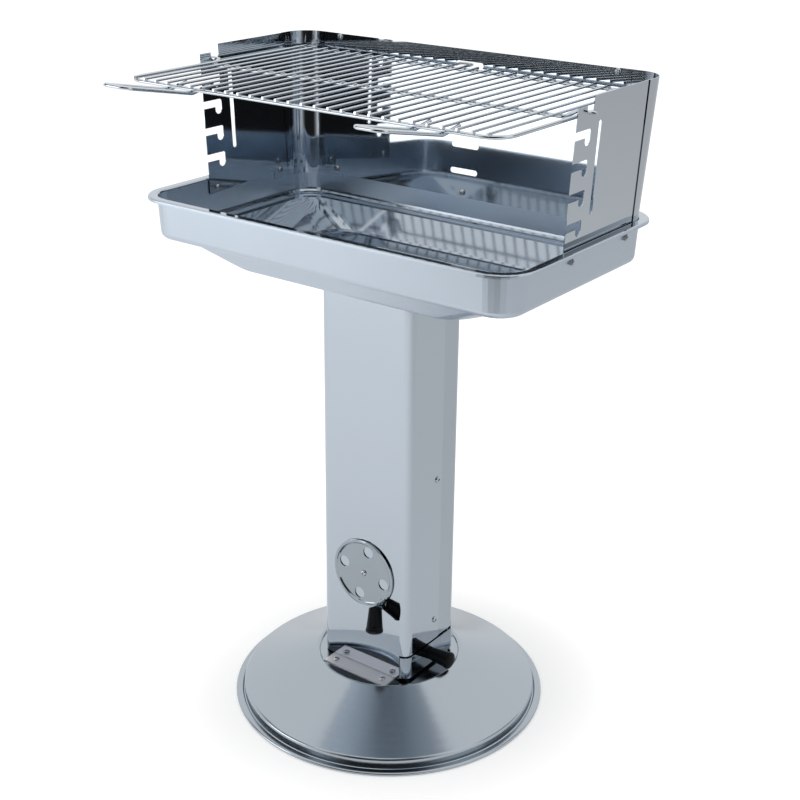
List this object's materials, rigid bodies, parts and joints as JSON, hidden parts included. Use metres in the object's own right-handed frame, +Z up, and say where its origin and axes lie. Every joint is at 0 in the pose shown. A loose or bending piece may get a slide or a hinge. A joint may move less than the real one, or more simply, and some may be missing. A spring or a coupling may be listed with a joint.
{
  "type": "pedestal charcoal barbecue",
  "caption": "Stainless pedestal charcoal barbecue with a dish base, air damper, pull-out ash tray, deep pan, windshield and height-adjustable wire grate.",
  "frame": {"origin": "The centre of the round base on the floor plane.", "axes": "+Z up, +X to the ash tray's side, -Y to the front, where the damper and the grate's handles are."},
  "size_m": [0.6062, 0.5295, 0.92],
  "materials": {
    "polished_steel": "mirror-polished stainless sheet",
    "satin_steel": "satin-ground stainless sheet",
    "inner_steel": "plain mill-finish stainless sheet",
    "chromed_wire": "bright chromed round wire",
    "fastener_steel": "bare stainless fasteners",
    "black_plastic": "smooth black heat-proof plastic"
  },
  "bodies": {
    "root": {"base_dish": "satin_steel", "foot_bracket_front": "inner_steel", "foot_bracket_rear": "inner_steel", "foot_screws": "fastener_steel", "foot_nuts": "fastener_steel", "column_front": "polished_steel", "column_rear": "polished_steel", "seam_screws": "fastener_steel", "column_top_frame": "inner_steel", "pan_bolts": "fastener_steel", "pan_nuts": "fastener_steel", "damper_screw": "fastener_steel", "damper_nut": "fastener_steel", "fire_pan": "satin_steel", "shield_left": "polished_steel", "shield_right": "polished_steel", "shield_back": "polished_steel", "shield_corner_left": "polished_steel", "shield_corner_right": "polished_steel", "shield_side_screws": "fastener_steel", "shield_side_nuts": "fastener_steel", "shield_back_screws": "fastener_steel", "shield_back_nuts": "fastener_steel", "corner_screws": "fastener_steel", "corner_nuts": "fastener_steel"},
    "damper": {"damper_disc": "polished_steel", "damper_knob": "black_plastic", "damper_knob_screw": "fastener_steel"},
    "tray": {"ash_tray": "inner_steel", "tray_front_panel": "polished_steel", "tray_knob": "black_plastic", "tray_knob_screw": "fastener_steel"},
    "grate": {"grate_frame": "chromed_wire", "grate_bars": "chromed_wire", "grate_cross_wire": "chromed_wire", "grate_handles": "chromed_wire"},
    "ash_grid_lift": {"ash_grid": "inner_steel"}
  },
  "joints": [
    {"name": "damper_turn", "type": "hinge", "parent": "root", "child": "damper", "pos_m": [0, -0.061, 0.216], "axis": [0, 1, 0], "range_deg": [0, 45]},
    {"name": "tray_pull", "type": "slide", "parent": "root", "child": "tray", "axis": [1, 0, 0], "range_m": [0, 0.13]},
    {"name": "grate_lift", "type": "hinge", "parent": "root", "child": "grate", "pos_m": [-0.0035, 0.17227, 0.9007], "axis": [-1, 0, 0], "range_deg": [0, 25]},
    {"name": "ash_grid_out", "type": "slide", "parent": "root", "child": "ash_grid_lift", "axis": [0, 0, 1], "range_m": [0, 0.1]}
  ]
}
